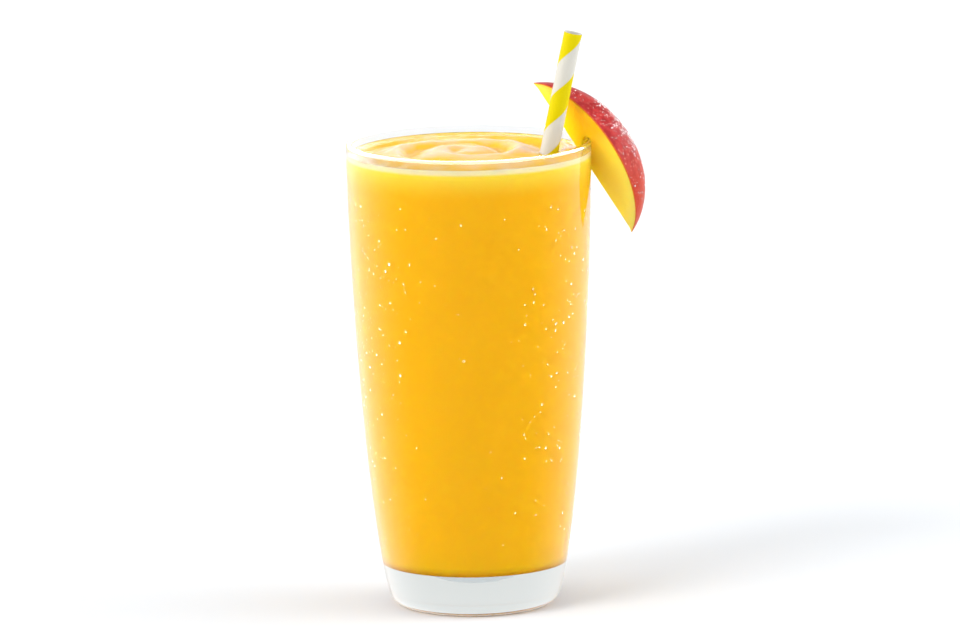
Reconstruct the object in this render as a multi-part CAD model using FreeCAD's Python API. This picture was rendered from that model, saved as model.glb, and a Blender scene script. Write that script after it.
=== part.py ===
import FreeCAD, Part
import math
import os

Vector = FreeCAD.Vector

# A mango smoothie in a clear cooler tumbler, with a paper straw and a wedge of mango on the rim.
# Millimetres, +Z up. The origin is on the glass's axis, on the surface that it stands on.
# +X points to the side where the wedge sits, and -Y is the front.

# ---- driving dimensions -------------------------------------------------------------------

# the tumbler
GLASS_HEIGHT = 152.6
MOUTH_RADIUS = 39.9          # outside, at the lip
FOOT_RADIUS = 26.1           # outside, where the wall's curve would reach the surface below
WALL_SWELL = 1.55            # how soon the wall leaves the cone and turns upright
WALL_ROUND = 0.62            # how full it is just above the foot: 1 is a straight start
WALL_AT_LIP = 2.2
WALL_AT_FLOOR = 3.0
BASE_THICKNESS = 14.1        # the solid foot of clear glass
HEEL_ROUNDING = 5.5
FLOOR_ROUNDING = 4.0         # inside, where the wall turns into the floor
WALL_STATIONS = 7            # points along the wall's curve
STATION_CROWDING = 1.3       # above 1 they stand closer together low down
SLOPE_STEP = 0.05            # over which the wall's slope is measured
CORNER_ROUNDS = 30           # repeats that settle a corner's height against its wall's lean

# the drink
DRINK_BELOW_LIP = 4.0        # from the lip down to the line where the drink meets the wall
SWIRL_HEIGHT = 1.0           # crest of a fold above the mean surface
SWIRL_PITCH = 15.5           # from one fold to the next, outwards
SWIRL_START = 0.6            # where the spiral fold begins, in radians
HEAP_HEIGHT = 1.3            # the drink stands a little higher in the middle
HEAP_RADIUS = 21.0
CALM_EDGE = 7.0              # width of the level band along the wall
CALM_CENTRE = 6.0            # radius within which the fold fades out
FOLD_LEAN = 0.5              # how much steeper one flank of the fold is than the other
TWO_SIDED = 0.35             # how uneven the fold is round the glass, twice round
TWO_SIDED_START = 1.1
THREE_SIDED = 0.25           # and three times round
THREE_SIDED_START = -0.5
LUMP_HEIGHT = 0.22           # soft lumps where two swaying waves cross
LUMP_WIDTH = 3.0             # their wave length is 2 pi times this
LUMP_DEPTH = 2.4
LUMP_DRIFT = 7.0             # over which the waves sway
LUMP_SWAY = 1.2
SURFACE_STATIONS = 41        # points each way on the drink's surface
CLEAR_ABOVE = 16.0           # height of the block that cuts the drink off at its surface

# the straw
STRAW_DIAMETER = 6.0
STRAW_WALL = 0.4
STRAW_LENGTH = 177.0
STRAW_FOOT_X = -2.4          # where its lower end stands on the glass's floor
STRAW_Y = -3.0
STRAW_TO_WALL = 10.6         # from the straw's centre line to the inside of the lip
STRAW_SEAT = 0.3             # clearance under its lowest corner

# the wedge, one of the slices that a small mango is cut into
FRUIT_LENGTH = 62.6
FRUIT_WIDTH = 54.2
FRUIT_THICKNESS = 40.0
WEDGE_ANGLE = 60.0           # between its two cut faces
WEDGE_FRONT_ANGLE = 35.0     # of that, in front of the upright plane through its inner edge
WEDGE_TO_CORE = 9.8          # from the fruit's long axis to the wedge's inner edge
WEDGE_AZIMUTH = 12.0         # where it sits on the rim, turned from +X towards the back
WEDGE_YAW = 14.0             # how far its outer end swings forwards from +X
WEDGE_LEAN = 33.6            # its inner edge from upright
WEDGE_SEAT_OFFSET = 1.8      # its slot is this far below the middle of its inner edge
SLOT_DEPTH = 9.0             # how far the rim reaches up into it
SLOT_CLEARANCE = 0.3
SLEEVE_LENGTH = 36.0         # how far down the wall is cleared out of the wedge
KNIFE_OVERSIZE = 2.0         # the cutting block against the fruit


# ---- the tumbler --------------------------------------------------------------------------

def outer_radius(z):
    """Outside radius of the wall at height z: full above the foot, then ever more upright."""
    drop = max(0.0, 1.0 - z / GLASS_HEIGHT)
    return FOOT_RADIUS + (MOUTH_RADIUS - FOOT_RADIUS) * (1 - drop ** WALL_SWELL) ** WALL_ROUND


def inner_radius(z):
    """Inside radius at height z: the wall thins evenly from the floor up to the lip."""
    share = (z - BASE_THICKNESS) / (GLASS_HEIGHT - BASE_THICKNESS)
    wall = WALL_AT_FLOOR + (WALL_AT_LIP - WALL_AT_FLOOR) * share
    return outer_radius(z) - wall


def wall_slope(radius_at, z):
    """How much the radius grows for each millimetre of height."""
    return (radius_at(z + SLOPE_STEP) - radius_at(z - SLOPE_STEP)) / (2 * SLOPE_STEP)


def wall_curve(radius_at, z_low, z_high, offset):
    """A smooth curve in the XZ plane through the wall's radii from z_low to z_high."""
    points = []
    for i in range(WALL_STATIONS):
        z = z_low + (z_high - z_low) * (i / (WALL_STATIONS - 1)) ** STATION_CROWDING
        points.append(Vector(radius_at(z) + offset, 0, z))
    curve = Part.BSplineCurve()
    curve.interpolate(Points=points,
                      InitialTangent=Vector(wall_slope(radius_at, z_low), 0, 1),
                      FinalTangent=Vector(wall_slope(radius_at, z_high), 0, 1))
    return curve.toShape()


def corner_arc(radius_at, z_floor, rounding):
    """The round from a level face at z_floor into the wall above, tangent to both.

    Returns the arc, its inner end on the level face, and the height where the wall begins."""
    rise = rounding
    for _ in range(CORNER_ROUNDS):
        lean = math.atan(wall_slope(radius_at, z_floor + rise))
        rise = rounding * (1 - math.sin(lean))
    wall_end = Vector(radius_at(z_floor + rise), 0, z_floor + rise)
    centre = Vector(wall_end.x - rounding * math.cos(lean), 0, z_floor + rounding)
    floor_end = Vector(centre.x, 0, z_floor)
    middle = -(math.pi / 2 + lean) / 2
    on_arc = centre + Vector(math.cos(middle), 0, math.sin(middle)) * rounding
    return Part.Arc(floor_end, on_arc, wall_end).toShape(), floor_end, wall_end.z


def line(a, b):
    return Part.LineSegment(a, b).toShape()


def turned(edges):
    """The solid made by turning a closed outline in the XZ plane about the glass's axis."""
    face = Part.Face(Part.Wire(Part.__sortEdges__(edges)))
    return face.revolve(Vector(0, 0, 0), Vector(0, 0, 1), 360)


def lip_arc(z_shoulder, clearance):
    """The round over the lip, from the outside shoulder to the inside one."""
    outside = outer_radius(z_shoulder) + clearance
    inside = inner_radius(z_shoulder) - clearance
    crown = Vector((outside + inside) / 2, 0, GLASS_HEIGHT + clearance)
    return Part.Arc(Vector(outside, 0, z_shoulder), crown, Vector(inside, 0, z_shoulder)).toShape()


def turned_below(radius_at, z_floor, rounding, z_top, top_edges, top_end):
    """A solid of revolution with a level floor, a rounded corner, a curved wall and a given top."""
    corner, floor_end, z_wall = corner_arc(radius_at, z_floor, rounding)
    axis_low = Vector(0, 0, z_floor)
    axis_high = Vector(0, 0, top_end.z)
    return turned([line(axis_low, floor_end), corner, wall_curve(radius_at, z_wall, z_top, 0)]
                  + top_edges + [line(top_end, axis_high), line(axis_high, axis_low)])


def cavity():
    """The space inside the tumbler, from its floor up to the lip."""
    top = Vector(inner_radius(GLASS_HEIGHT), 0, GLASS_HEIGHT)
    return turned_below(inner_radius, BASE_THICKNESS, FLOOR_ROUNDING, GLASS_HEIGHT, [], top)


def glass():
    """The tumbler: one wall and a thick base, with a rounded heel and a fire-polished lip."""
    shoulder = GLASS_HEIGHT - WALL_AT_LIP / 2
    inside = Vector(inner_radius(shoulder), 0, shoulder)
    blank = turned_below(outer_radius, 0, HEEL_ROUNDING, shoulder, [lip_arc(shoulder, 0)], inside)
    return blank.cut(cavity())


def rim_sleeve(z_low, clearance):
    """The upper wall and its lip, thickened all round by a clearance."""
    shoulder = GLASS_HEIGHT - WALL_AT_LIP / 2
    return turned([
        line(Vector(inner_radius(z_low) - clearance, 0, z_low),
             Vector(outer_radius(z_low) + clearance, 0, z_low)),
        wall_curve(outer_radius, z_low, shoulder, clearance),
        lip_arc(shoulder, clearance),
        wall_curve(inner_radius, z_low, shoulder, -clearance),
    ])


# ---- the straw ----------------------------------------------------------------------------

def straw_line():
    """The lower end of the straw's centre line, and its direction, leaning in the XZ plane."""
    rim_x = inner_radius(GLASS_HEIGHT) - STRAW_TO_WALL
    lean = math.atan2(rim_x - STRAW_FOOT_X, GLASS_HEIGHT - BASE_THICKNESS)
    lowest_corner = STRAW_DIAMETER / 2 * math.sin(lean)
    foot = Vector(STRAW_FOOT_X, STRAW_Y, BASE_THICKNESS + STRAW_SEAT + lowest_corner)
    return foot, Vector(math.sin(lean), 0, math.cos(lean))


def straw():
    """A round paper tube, open at both ends."""
    foot, direction = straw_line()
    outside = Part.makeCylinder(STRAW_DIAMETER / 2, STRAW_LENGTH, foot, direction)
    bore = Part.makeCylinder(STRAW_DIAMETER / 2 - STRAW_WALL, STRAW_LENGTH, foot, direction)
    return outside.cut(bore)


# ---- the mango wedge ----------------------------------------------------------------------

def wedge_frame():
    """The wedge's seat and its axes: along the inner edge, out to the skin, and to the front."""
    azimuth = math.radians(WEDGE_AZIMUTH)
    yaw = math.radians(WEDGE_YAW)
    lean = math.radians(WEDGE_LEAN)
    mid_wall = MOUTH_RADIUS - WALL_AT_LIP / 2
    seat = Vector(mid_wall * math.cos(azimuth), mid_wall * math.sin(azimuth),
                  GLASS_HEIGHT - SLOT_DEPTH)
    away = Vector(math.cos(yaw), -math.sin(yaw), 0)
    down = Vector(0, 0, -1)
    along = away * math.sin(lean) + down * math.cos(lean)
    outward = away * math.cos(lean) - down * math.sin(lean)
    forward = Vector(-math.sin(yaw), -math.cos(yaw), 0)
    return seat, along, outward, forward


def fruit():
    """The whole fruit that the wedge is cut from: a ball stretched along its three axes."""
    seat, along, outward, forward = wedge_frame()
    centre = seat - along * WEDGE_SEAT_OFFSET - outward * WEDGE_TO_CORE
    a = along * (FRUIT_LENGTH / 2)
    b = outward * (FRUIT_WIDTH / 2)
    c = forward * (FRUIT_THICKNESS / 2)
    stretch = FreeCAD.Matrix(b.x, c.x, a.x, centre.x,
                             b.y, c.y, a.y, centre.y,
                             b.z, c.z, a.z, centre.z,
                             0, 0, 0, 1)
    return Part.makeSphere(1.0).transformGeometry(stretch)


def whole_wedge():
    """The wedge between its two straight cuts, before the slot for the rim is cut in it."""
    seat, along, outward, forward = wedge_frame()
    reach = FRUIT_WIDTH * KNIFE_OVERSIZE
    front = math.radians(WEDGE_FRONT_ANGLE)
    back = math.radians(WEDGE_FRONT_ANGLE - WEDGE_ANGLE)
    start = seat - along * FRUIT_LENGTH
    corners = [start]
    for angle in (front, (front + back) / 2, back):
        corners.append(start + (outward * math.cos(angle) + forward * math.sin(angle)) * reach)
    corners.append(start)
    knife = Part.Face(Part.makePolygon(corners)).extrude(along * (FRUIT_LENGTH * KNIFE_OVERSIZE))
    return fruit().common(knife)


def mango_wedge():
    """The wedge, hung on the rim by a slot across its inner edge."""
    z_low = GLASS_HEIGHT - SLEEVE_LENGTH
    return whole_wedge().cut(rim_sleeve(z_low, SLOT_CLEARANCE))


# ---- the drink ----------------------------------------------------------------------------

def eased(share):
    """0 up to 1 with a smooth start and end, held at both ends."""
    share = min(1.0, max(0.0, share))
    return share * share * (3 - 2 * share)


def drink_surface(x, y):
    """Height of the drink at x, y: a low heap, one fold of the pour spiralling round it, and lumps.

    The fold is a wave along the radius whose crest moves outwards with the angle. It is uneven
    round the glass and dies out in the middle. The lumps stand where a wave along x crosses one
    along y, each swaying with the other. All of it runs level into the wall."""
    level = GLASS_HEIGHT - DRINK_BELOW_LIP
    wall = inner_radius(level)
    radius = math.hypot(x, y)
    angle = math.atan2(y, x)
    phase = 2 * math.pi * radius / SWIRL_PITCH - angle + SWIRL_START
    uneven = (1 + TWO_SIDED * math.sin(2 * angle + TWO_SIDED_START)
              + THREE_SIDED * math.sin(3 * angle + THREE_SIDED_START))
    fold = SWIRL_HEIGHT * uneven * math.sin(phase + FOLD_LEAN * math.sin(phase))
    fold *= 1 - math.exp(-(radius / CALM_CENTRE) ** 2)
    heap = HEAP_HEIGHT * math.exp(-(radius / HEAP_RADIUS) ** 2)
    lumps = (LUMP_HEIGHT
             * math.sin(x / LUMP_WIDTH + LUMP_SWAY * math.sin(y / LUMP_DRIFT))
             * math.sin(y / LUMP_DEPTH + LUMP_SWAY * math.sin(x / LUMP_DRIFT + 1)))
    return level + (fold + lumps + heap) * eased((wall - radius) / CALM_EDGE)


def above_drink():
    """A block that fills everything over the drink's surface."""
    half = MOUTH_RADIUS
    grid = []
    for i in range(SURFACE_STATIONS):
        x = -half + 2 * half * i / (SURFACE_STATIONS - 1)
        row = []
        for j in range(SURFACE_STATIONS):
            y = -half + 2 * half * j / (SURFACE_STATIONS - 1)
            row.append(Vector(x, y, drink_surface(x, y)))
        grid.append(row)
    surface = Part.BSplineSurface()
    surface.interpolate(grid)
    return surface.toShape().extrude(Vector(0, 0, CLEAR_ABOVE))


def smoothie():
    """The drink: all of the cavity up to its surface, cut round the straw and the wedge."""
    return cavity().cut(above_drink()).cut(straw()).cut(whole_wedge())


# ---- one file for each piece --------------------------------------------------------------

def main():
    os.makedirs("parts", exist_ok=True)
    pieces = {
        "glass": glass(),
        "smoothie": smoothie(),
        "straw": straw(),
        "mango_wedge": mango_wedge(),
    }
    for name, shape in pieces.items():
        solids = shape.Solids
        if len(solids) != 1 or not shape.isValid():
            raise ValueError("%s has %d solids, valid: %s" % (name, len(solids), shape.isValid()))
        solids[0].exportStep("parts/%s.step" % name)
        print("%-12s %10.1f mm3" % (name, solids[0].Volume))


main()
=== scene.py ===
import math

import bmesh
import bpy
import numpy as np
from mathutils import Matrix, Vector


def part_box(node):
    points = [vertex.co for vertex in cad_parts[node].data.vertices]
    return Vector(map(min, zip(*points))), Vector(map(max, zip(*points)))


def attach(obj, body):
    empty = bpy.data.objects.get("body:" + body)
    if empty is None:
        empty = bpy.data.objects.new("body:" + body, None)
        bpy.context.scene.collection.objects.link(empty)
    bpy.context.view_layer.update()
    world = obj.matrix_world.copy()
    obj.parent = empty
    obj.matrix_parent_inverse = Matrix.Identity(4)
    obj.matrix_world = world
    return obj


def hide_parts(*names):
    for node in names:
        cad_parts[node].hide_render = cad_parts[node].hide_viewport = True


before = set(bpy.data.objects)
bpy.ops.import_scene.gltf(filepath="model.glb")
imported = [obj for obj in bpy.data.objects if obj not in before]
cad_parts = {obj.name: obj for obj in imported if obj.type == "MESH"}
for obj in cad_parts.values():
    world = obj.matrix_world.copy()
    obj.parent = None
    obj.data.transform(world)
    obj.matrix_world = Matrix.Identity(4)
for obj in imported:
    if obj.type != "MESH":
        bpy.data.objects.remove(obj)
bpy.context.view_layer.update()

MM = 0.001

# ---- the tumbler -------------------------------------------------------------------------------
# A clear cooler glass, pressed in one piece of soda glass with a thick foot. Its wall swells out
# from the foot and stands almost upright at the mouth, and the lip is fire-polished round.

GLASS_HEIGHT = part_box("glass")[1].z
MOUTH_RADIUS = 39.9 * MM
FOOT_RADIUS = 26.1 * MM
WALL_SWELL = 1.55
WALL_ROUND = 0.62
WALL_AT_LIP = 2.2 * MM
WALL_AT_FLOOR = 3.0 * MM
BASE_THICKNESS = 14.1 * MM
HEEL_ROUNDING = 5.5 * MM
FLOOR_ROUNDING = 4.0 * MM
PUNT_DEPTH = 0.5 * MM
TURN_STEPS = 256
WALL_STEPS = 90
WALL_CROWDING = 1.3
HEEL_STEPS = 14
FLOOR_STEPS = 12
LIP_STEPS = 18
LEVEL_STEPS = 16
SLOPE_STEP = 0.05 * MM
CORNER_ROUNDS = 30


def outer_radius(z):
    """The wall's outside radius: full just above the foot, then ever more upright."""
    drop = np.clip(1 - z / GLASS_HEIGHT, 0, 1)
    return FOOT_RADIUS + (MOUTH_RADIUS - FOOT_RADIUS) * (1 - drop ** WALL_SWELL) ** WALL_ROUND


def inner_radius(z):
    """The inside radius: the outside less a wall that thins evenly from floor to lip."""
    share = (z - BASE_THICKNESS) / (GLASS_HEIGHT - BASE_THICKNESS)
    return outer_radius(z) - (WALL_AT_FLOOR + (WALL_AT_LIP - WALL_AT_FLOOR) * share)


def corner(radius_at, z_floor, rounding, steps):
    """A quarter round from a level face into a leaning wall, tangent to both.

    Its upper end is as high as the rounding times one less the sine of the wall's lean there."""
    height, lean = rounding, 0.0
    for _ in range(CORNER_ROUNDS):
        z = z_floor + height
        lean = math.atan((radius_at(z + SLOPE_STEP) - radius_at(z - SLOPE_STEP)) / (2 * SLOPE_STEP))
        height = rounding * (1 - math.sin(lean))
    centre = radius_at(z_floor + height) - rounding * math.cos(lean)
    turn = np.linspace(-math.pi / 2, -lean, steps)
    return np.stack([centre + rounding * np.cos(turn), z_floor + rounding + rounding * np.sin(turn)], 1)


def mesh_piece(name, points, faces, smooth=True):
    """A mesh object at the origin from arrays of points and faces."""
    mesh = bpy.data.meshes.new(name)
    mesh.from_pydata(points.tolist(), [], [tuple(face) for face in faces])
    mesh.validate()
    mesh.polygons.foreach_set("use_smooth", np.full(len(mesh.polygons), smooth))
    piece = bpy.data.objects.new(name, mesh)
    bpy.context.scene.collection.objects.link(piece)
    return piece


def turned_piece(name, profile, steps):
    """A profile of radius and height turned about the Z axis, its two ends closed on the axis."""
    angle = np.arange(steps) * 2 * math.pi / steps
    ring = profile[1:-1]
    x = ring[:, 0, None] * np.cos(angle)
    y = ring[:, 0, None] * np.sin(angle)
    z = np.repeat(ring[:, 1, None], steps, 1)
    points = np.concatenate([np.stack([x, y, z], -1).reshape(-1, 3),
                             [[0, 0, profile[0, 1]], [0, 0, profile[-1, 1]]]])
    rows = np.arange(len(ring) - 1)[:, None] * steps
    here, there = np.arange(steps), (np.arange(steps) + 1) % steps
    quads = np.stack([rows + here, rows + there, rows + steps + there, rows + steps + here], -1)
    first, last = len(points) - 2, len(points) - 1
    end = (len(ring) - 1) * steps
    faces = quads.reshape(-1, 4).tolist()
    faces += np.stack([np.full(steps, first), there, here], 1).tolist()
    faces += np.stack([np.full(steps, last), end + here, end + there], 1).tolist()
    return mesh_piece(name, points, faces)


def wall(radius_at, low, high, steps):
    """The wall's radii at heights from low to high, closer together low down."""
    z = low + (high - low) * np.linspace(0, 1, steps) ** WALL_CROWDING
    return np.stack([radius_at(z), z], 1)


def tumbler_profile():
    """From the middle of the underside round the heel, up the wall, over the lip and down to the floor."""
    shoulder = GLASS_HEIGHT - WALL_AT_LIP / 2
    heel = corner(outer_radius, 0, HEEL_ROUNDING, HEEL_STEPS)
    across = np.linspace(0, 1, LEVEL_STEPS)[:-1]
    punt = np.stack([heel[0, 0] * across, PUNT_DEPTH * (1 - across ** 2) ** 2], 1)
    outside = wall(outer_radius, heel[-1, 1], shoulder, WALL_STEPS)[1:]
    middle = (outer_radius(shoulder) + inner_radius(shoulder)) / 2
    half = (outer_radius(shoulder) - inner_radius(shoulder)) / 2
    over = np.linspace(0, math.pi, LIP_STEPS)[1:-1]
    lip = np.stack([middle + half * np.cos(over), shoulder + WALL_AT_LIP / 2 * np.sin(over)], 1)
    floor = corner(inner_radius, BASE_THICKNESS, FLOOR_ROUNDING, FLOOR_STEPS)
    inside = wall(inner_radius, floor[-1, 1], shoulder, WALL_STEPS)[::-1]
    level = np.stack([floor[0, 0] * across, np.full_like(across, BASE_THICKNESS)], 1)[::-1]
    return np.concatenate([punt, heel, outside, lip, inside, floor[::-1][1:], level])


def material(name):
    """A new material, with its Principled shader and its node tree."""
    mat = bpy.data.materials.new(name)
    mat.use_nodes = True
    return mat, mat.node_tree.nodes["Principled BSDF"], mat.node_tree


tumbler = turned_piece("tumbler", tumbler_profile(), TURN_STEPS)

clear_glass, shader, tree = material("clear soda glass")
shader.inputs["Base Color"].default_value = (1, 1, 1, 1)
shader.inputs["Roughness"].default_value = 0.0
shader.inputs["IOR"].default_value = 1.5
shader.inputs["Transmission Weight"].default_value = 1.0
depth = tree.nodes.new("ShaderNodeVolumeAbsorption")
depth.inputs["Color"].default_value = (0.62, 0.66, 0.65, 1)
depth.inputs["Density"].default_value = 20.0
tree.links.new(depth.outputs[0], tree.nodes["Material Output"].inputs["Volume"])
tumbler.data.materials.append(clear_glass)

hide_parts("glass")
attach(tumbler, "root")


# ---- the straw ---------------------------------------------------------------------------------
# Strips of paper wound in a spiral and glued, printed so that lemon and white follow the winding.
# It is pushed down to the floor of the glass and leans towards the wedge.

STRAW_RADIUS = 3.0 * MM
STRAW_WALL = 0.4 * MM
STRAW_LENGTH = 177.0 * MM
STRAW_ROUND = 0.12 * MM
STRIPE_PITCH = 22.4 * MM
TOP_STRIPE = 6.1 * MM
WINDING_STEP = 0.06 * MM
STRAW_STATIONS = 340
STRAW_STEPS = 72
FRONT_TURN = 0.75
LEMON = (0.48, 0.40, 0.001, 1)
PAPER_WHITE = (0.445, 0.435, 0.395, 1)
WHITE_FIBRES = 0.93
LEMON_FIBRES = 0.94

straw_low, straw_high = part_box("straw")
straw_lean = (math.asin((straw_high.x - straw_low.x) / math.hypot(STRAW_LENGTH, 2 * STRAW_RADIUS))
              - math.atan(2 * STRAW_RADIUS / STRAW_LENGTH))
straw_foot = np.array([straw_low.x + STRAW_RADIUS * math.cos(straw_lean),
                       (straw_low.y + straw_high.y) / 2,
                       straw_low.z + STRAW_RADIUS * math.sin(straw_lean)])


def ring_grid(rows, steps):
    """Faces of a grid that closes on itself both ways, facing out when rows run up the outside."""
    row, col = np.meshgrid(np.arange(rows), np.arange(steps), indexing="ij")
    up, round_ = (row + 1) % rows, (col + 1) % steps
    return np.stack([row * steps + col, row * steps + round_, up * steps + round_, up * steps + col],
                    -1).reshape(-1, 4)


def paper_straw(name, stations, steps):
    """A tube: up the outside, over a soft edge, down the bore and back, turned about its axis.

    The outside rises by the winding step across each strip and drops at its seam. The UV map
    holds turns from the front and pitches from the first seam."""
    length = np.linspace(0, STRAW_LENGTH, stations)
    soft = np.array([0.3, 0.7]) * STRAW_ROUND
    out, bore = STRAW_RADIUS, STRAW_RADIUS - STRAW_WALL
    radius = np.concatenate([np.full(stations, out), out - soft, bore + soft[::-1],
                             np.full(stations, bore)])
    height = np.concatenate([length, STRAW_LENGTH + soft / 2, STRAW_LENGTH + soft[::-1] / 2,
                             length[::-1]])
    turn = np.arange(steps) / steps
    winding = (height[:, None] - STRAW_LENGTH + TOP_STRIPE) / STRIPE_PITCH - (turn - FRONT_TURN)
    outside = np.arange(len(height)) < stations
    r = radius[:, None] - WINDING_STEP * (winding % 0.5) * 2 * outside[:, None]
    x_axis = np.array([math.cos(straw_lean), 0, -math.sin(straw_lean)])
    z_axis = np.array([math.sin(straw_lean), 0, math.cos(straw_lean)])
    angle = 2 * math.pi * turn
    points = (straw_foot + (r * np.cos(angle))[..., None] * x_axis
              + (r * np.sin(angle))[..., None] * np.array([0, 1, 0])
              + height[:, None, None] * z_axis)
    faces = ring_grid(len(height), steps)
    piece = mesh_piece(name, points.reshape(-1, 3), faces)
    row, col = np.divmod(np.arange(len(faces)), steps)
    across = (col[:, None] + np.array([0, 1, 1, 0])) / steps - FRONT_TURN
    along = (height[(row[:, None] + np.array([0, 0, 1, 1])) % len(height)] - STRAW_LENGTH + TOP_STRIPE)
    uv = piece.data.uv_layers.new(name="winding")
    uv.data.foreach_set("uv", np.stack([across, along / STRIPE_PITCH], -1).ravel())
    bare = (row >= stations - 1).astype(int)
    piece.data.polygons.foreach_set("material_index", bare)
    return piece


def feed(tree, socket, value):
    """Another node's output linked to a socket, or else a number or colour put on it."""
    if isinstance(value, bpy.types.NodeSocket):
        tree.links.new(value, socket)
    else:
        socket.default_value = value


def maths(tree, operation, one, other=0.0):
    """A math node's result, with each input a number or another node's output."""
    node = tree.nodes.new("ShaderNodeMath")
    node.operation = operation
    feed(tree, node.inputs[0], one)
    feed(tree, node.inputs[1], other)
    return node.outputs[0]


def noise(tree, place, scale, detail):
    """Noise from 0 to 1 over a place, with features about one over its scale in metres."""
    node = tree.nodes.new("ShaderNodeTexNoise")
    feed(tree, node.inputs["Vector"], place)
    feed(tree, node.inputs["Scale"], scale)
    feed(tree, node.inputs["Detail"], detail)
    return node.outputs["Fac"]


def blend(tree, share, one, other):
    """Two colours mixed by a share."""
    node = tree.nodes.new("ShaderNodeMix")
    node.data_type = "RGBA"
    feed(tree, node.inputs[0], share)
    feed(tree, node.inputs[6], one)
    feed(tree, node.inputs[7], other)
    return node.outputs[2]


def bands(tree, share, stops):
    """A colour ramp through stops of place and colour."""
    node = tree.nodes.new("ShaderNodeValToRGB")
    tree.links.new(share, node.inputs[0])
    while len(node.color_ramp.elements) < len(stops):
        node.color_ramp.elements.new(0.5)
    for element, (place, colour) in zip(node.color_ramp.elements, stops):
        element.position = place
        element.color = colour
    return node.outputs[0]


def node_group(name, inputs, outputs):
    """An empty shader node group with named sockets, and those sockets as seen from inside it."""
    group = bpy.data.node_groups.new(name, "ShaderNodeTree")
    for way, sockets in (("INPUT", inputs), ("OUTPUT", outputs)):
        for label, kind in sockets.items():
            group.interface.new_socket(label, in_out=way, socket_type=kind)
    return group, group.nodes.new("NodeGroupInput").outputs, group.nodes.new("NodeGroupOutput").inputs


def use(tree, group, values):
    """The outputs of a node group placed in a material, with its own values on the inputs."""
    node = tree.nodes.new("ShaderNodeGroup")
    node.node_tree = group
    for label, value in values.items():
        feed(tree, node.inputs[label], value)
    return node.outputs


# Grain: fibres or pores as noise, put out as a share and as a normal raised by the depth in metres.
grain, given, gives = node_group("grain", {"Place": "NodeSocketVector", "Scale": "NodeSocketFloat",
                                           "Detail": "NodeSocketFloat", "Depth": "NodeSocketFloat"},
                                 {"Share": "NodeSocketFloat", "Normal": "NodeSocketVector"})
fibres = noise(grain, given["Place"], given["Scale"], given["Detail"])
bump = grain.nodes.new("ShaderNodeBump")
feed(grain, bump.inputs["Height"], fibres)
feed(grain, bump.inputs["Distance"], given["Depth"])
feed(grain, gives["Share"], fibres)
feed(grain, gives["Normal"], bump.outputs[0])


def fibrous(colour, share):
    """A colour, and the same at a share of its strength for where the fibres lie deep."""
    return colour, tuple(share * channel for channel in colour[:3]) + (1,)


def paper(name, printed):
    """Matt paper with a fibrous face, lemon and white by turns where it is printed."""
    mat, shader, tree = material(name)
    coords = tree.nodes.new("ShaderNodeTexCoord")
    fibre = use(tree, grain, {"Place": coords.outputs["Object"], "Scale": 2500, "Detail": 3.0,
                              "Depth": 0.03 * MM})
    colour = blend(tree, fibre["Share"], *fibrous(PAPER_WHITE, WHITE_FIBRES))
    if printed:
        winding = tree.nodes.new("ShaderNodeSeparateXYZ")
        tree.links.new(coords.outputs["UV"], winding.inputs[0])
        strip = maths(tree, "FRACT", maths(tree, "SUBTRACT", winding.outputs[1], winding.outputs[0]))
        ink = bands(tree, strip, [(0.0, (1, 1, 1, 1)), (0.49, (1, 1, 1, 1)), (0.505, (0, 0, 0, 1)),
                                  (0.99, (0, 0, 0, 1)), (1.0, (1, 1, 1, 1))])
        lemon = blend(tree, fibre["Share"], *fibrous(LEMON, LEMON_FIBRES))
        colour = blend(tree, ink, colour, lemon)
    tree.links.new(colour, shader.inputs["Base Color"])
    tree.links.new(fibre["Normal"], shader.inputs["Normal"])
    shader.inputs["Roughness"].default_value = 0.62
    shader.inputs["Specular IOR Level"].default_value = 0.05
    return mat


straw = paper_straw("paper_straw", STRAW_STATIONS, STRAW_STEPS)
straw.data.materials.append(paper("printed paper", True))
straw.data.materials.append(paper("bare paper", False))

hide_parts("straw")
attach(straw, "root")


# ---- the smoothie ------------------------------------------------------------------------------
# Mango puree, thick enough to hold the folds of the pour. It fills the glass to just below the
# lip and wets the wall, so its skin lies in the glass and climbs a little where they meet.

DRINK_LEVEL = GLASS_HEIGHT - 4.0 * MM
INTO_WALL = 0.35 * MM
SWIRL_HEIGHT = 1.0 * MM
SWIRL_PITCH = 15.5 * MM
SWIRL_START = 0.6
HEAP_HEIGHT = 1.3 * MM
HEAP_RADIUS = 21.0 * MM
CALM_EDGE = 7.0 * MM
FOLD_LEAN = 0.5
TWO_SIDED = 0.35
TWO_SIDED_START = 1.1
THREE_SIDED = 0.25
THREE_SIDED_START = -0.5
LUMP_HEIGHT = 0.22 * MM
LUMP_WIDTH = 3.0 * MM
LUMP_DEPTH = 2.4 * MM
LUMP_DRIFT = 7.0 * MM
LUMP_SWAY = 1.2
CALM_CENTRE = 6.0 * MM
MENISCUS_HEIGHT = 0.5 * MM
MENISCUS_WIDTH = 0.9 * MM
BOTTOM_RINGS = 12
SIDE_RINGS = 60
TOP_RINGS = 130
OPEN_FACE = 0.3
MESH_ROUNDING = 1e-7


def eased(share):
    """A smooth step from 0 to 1, as three squares less two cubes."""
    share = np.clip(share, 0, 1)
    return share * share * (3 - 2 * share)


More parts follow.
